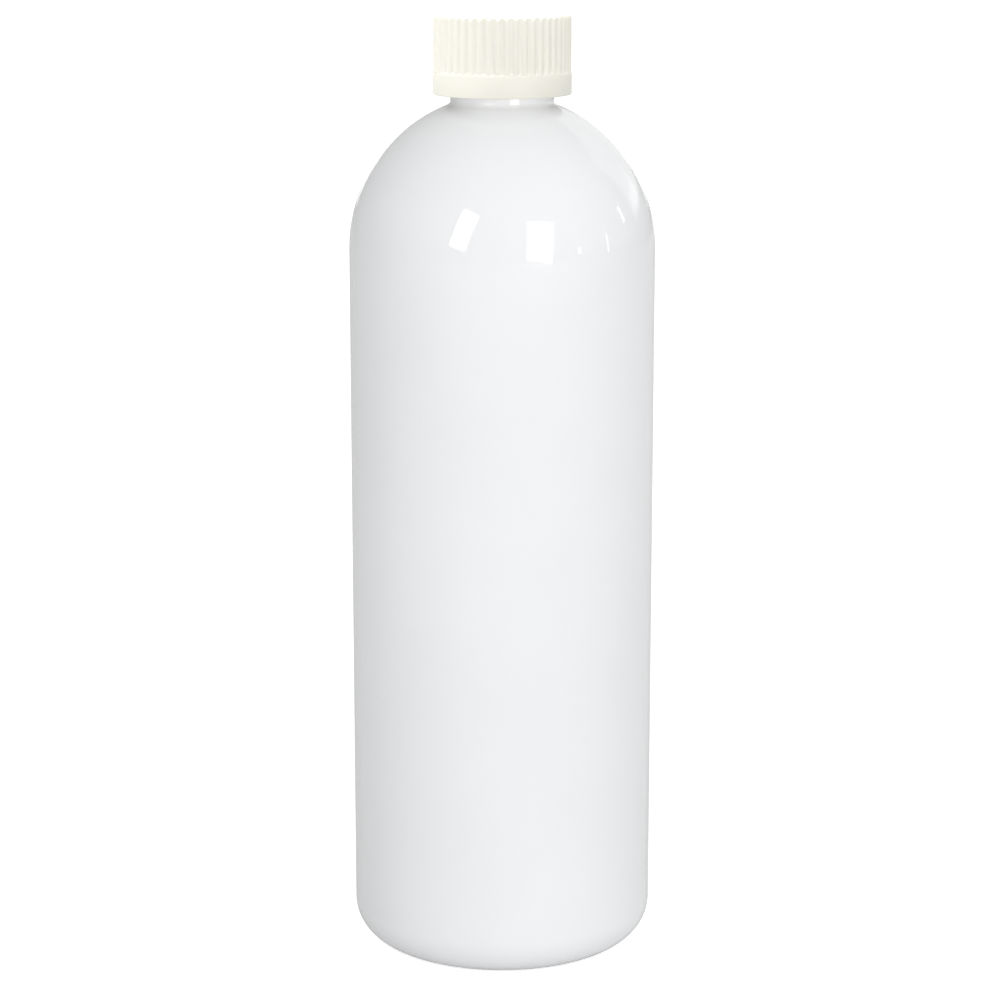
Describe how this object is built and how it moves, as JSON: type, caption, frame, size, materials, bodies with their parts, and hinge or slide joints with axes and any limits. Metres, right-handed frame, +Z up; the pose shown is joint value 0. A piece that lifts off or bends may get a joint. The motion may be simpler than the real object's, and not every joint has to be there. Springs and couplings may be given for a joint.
{
  "type": "child-resistant round bottle",
  "caption": "Tall round plastic bottle with a dome shoulder and a ribbed push-and-turn screw closure for household or toiletry liquids.",
  "frame": {"origin": "centre of the ring that the bottle stands on, at the surface it stands on", "axes": "+Z up along the axis of the bottle, the neck and the closure"},
  "size_m": [0.064, 0.064, 0.1992],
  "materials": {
    "bottle_plastic": "glossy opaque white blown PET",
    "liner_foam": "matte closed-cell polyethylene foam",
    "inner_cap_plastic": "satin ivory moulded polypropylene",
    "outer_cap_plastic": "satin ivory moulded polypropylene"
  },
  "bodies": {
    "bottle": {"bottle": "bottle_plastic", "neck": "bottle_plastic"},
    "liner": {"liner": "liner_foam"},
    "inner_cap": {"inner_cap": "inner_cap_plastic"},
    "outer_cap": {"outer_cap": "outer_cap_plastic"}
  },
  "joints": [
    {"name": "cap_rise", "type": "slide", "parent": "bottle", "child": "liner", "axis": [0, 0, 1], "range_m": [0, 0.0128]},
    {"name": "cap_turn", "type": "hinge", "parent": "liner", "child": "inner_cap", "pos_m": [0, 0, 0.19], "axis": [0, 0, 1], "range_deg": [0, 1440]},
    {"name": "cap_press", "type": "slide", "parent": "inner_cap", "child": "outer_cap", "axis": [0, 0, -1], "range_m": [0, 0.0012], "stiffness_N_per_m": 2000}
  ],
  "couplings": [
    {"joint": "cap_rise", "follows": "cap_turn", "m_per_rad": 0.00050532}
  ]
}
